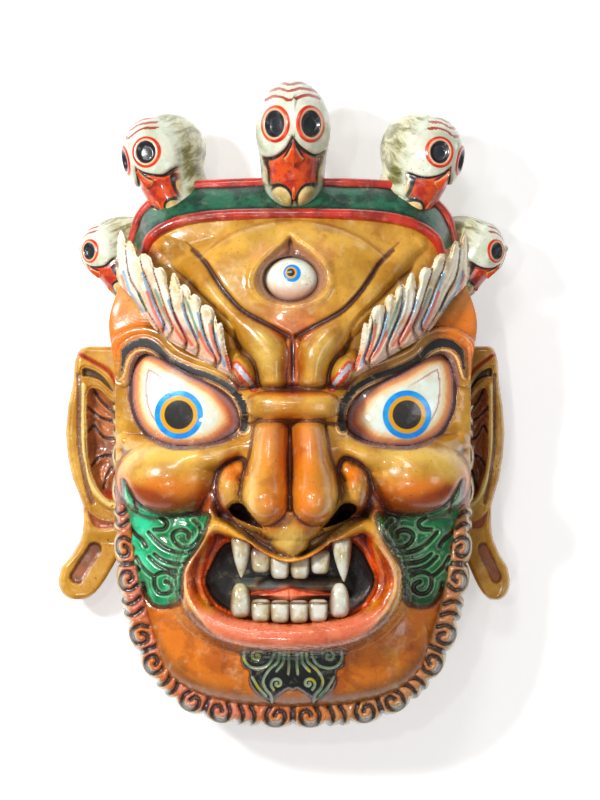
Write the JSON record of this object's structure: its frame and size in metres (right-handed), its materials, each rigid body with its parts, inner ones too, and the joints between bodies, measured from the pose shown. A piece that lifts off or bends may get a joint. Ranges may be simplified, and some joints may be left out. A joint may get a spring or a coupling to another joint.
{
  "type": "carved wooden dance mask",
  "caption": "Carved and painted wooden face mask of a wrathful protector, with a hollow back, long ears and small skulls standing round its crown.",
  "frame": {"origin": "middle of the bounding box at the plane of the flat back rim", "axes": "+Z out of the face towards the nose, +Y towards the crown, +X towards the viewer's right"},
  "size_m": [0.352, 0.5003, 0.186],
  "materials": {
    "face_paint": "gold and orange paint under glossy lacquer with dark patina",
    "skull_paint": "off-white paint with olive grime under glossy lacquer",
    "ear_paint": "gold paint under glossy lacquer with dark lines"
  },
  "bodies": {
    "root": {"face": "face_paint", "skull_centre": "skull_paint", "skull_upper_left": "skull_paint", "skull_upper_right": "skull_paint", "skull_side_left": "skull_paint", "skull_side_right": "skull_paint", "ear_left": "ear_paint", "ear_right": "ear_paint"}
  },
  "joints": []
}
